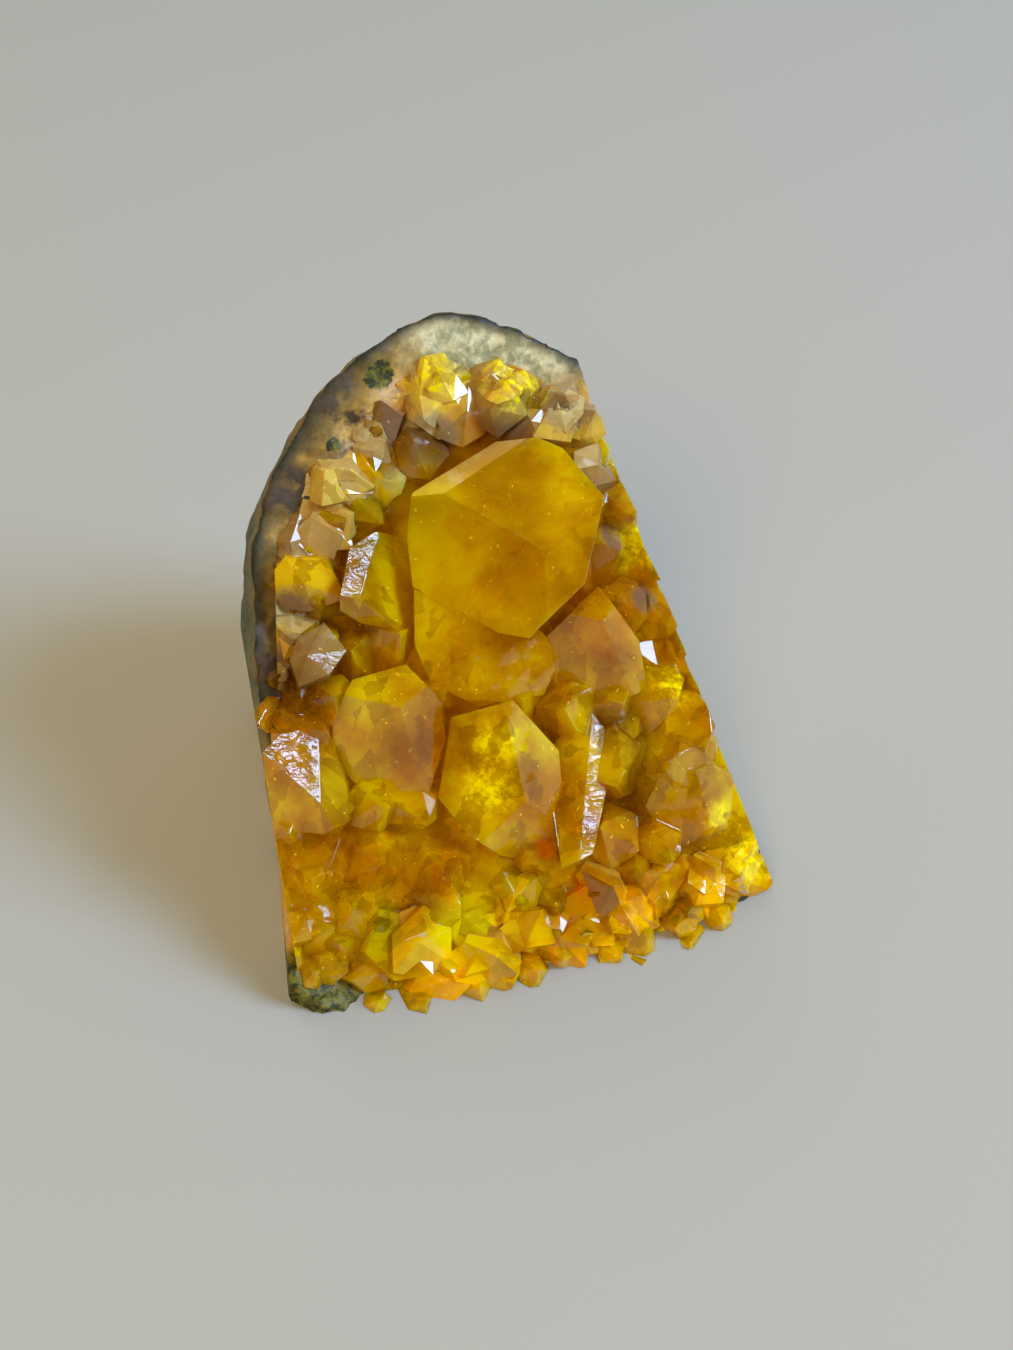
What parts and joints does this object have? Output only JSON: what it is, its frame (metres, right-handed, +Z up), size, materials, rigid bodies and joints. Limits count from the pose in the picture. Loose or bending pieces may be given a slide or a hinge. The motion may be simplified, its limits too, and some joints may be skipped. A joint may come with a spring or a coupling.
{
  "type": "citrine cluster",
  "caption": "Cut-base citrine cluster: a rounded geode wall with a sloping front of intergrown honey-yellow quartz crystals, sawn flat to stand on its base.",
  "frame": {"origin": "on the surface it stands on, under the middle of the cluster's overall box", "axes": "+Z up, the sloping crystal front facing -Y, +X to the right seen from the front"},
  "size_m": [0.0838, 0.0854, 0.0845],
  "materials": {
    "geode_wall": "rough grey-green rind outside, pale translucent quartz inside the rim, sawn at the base and both sides",
    "citrine": "clear to cloudy honey-yellow quartz with bright natural faces"
  },
  "bodies": {
    "root": {"matrix": "geode_wall", "crystals": "citrine"}
  },
  "joints": []
}
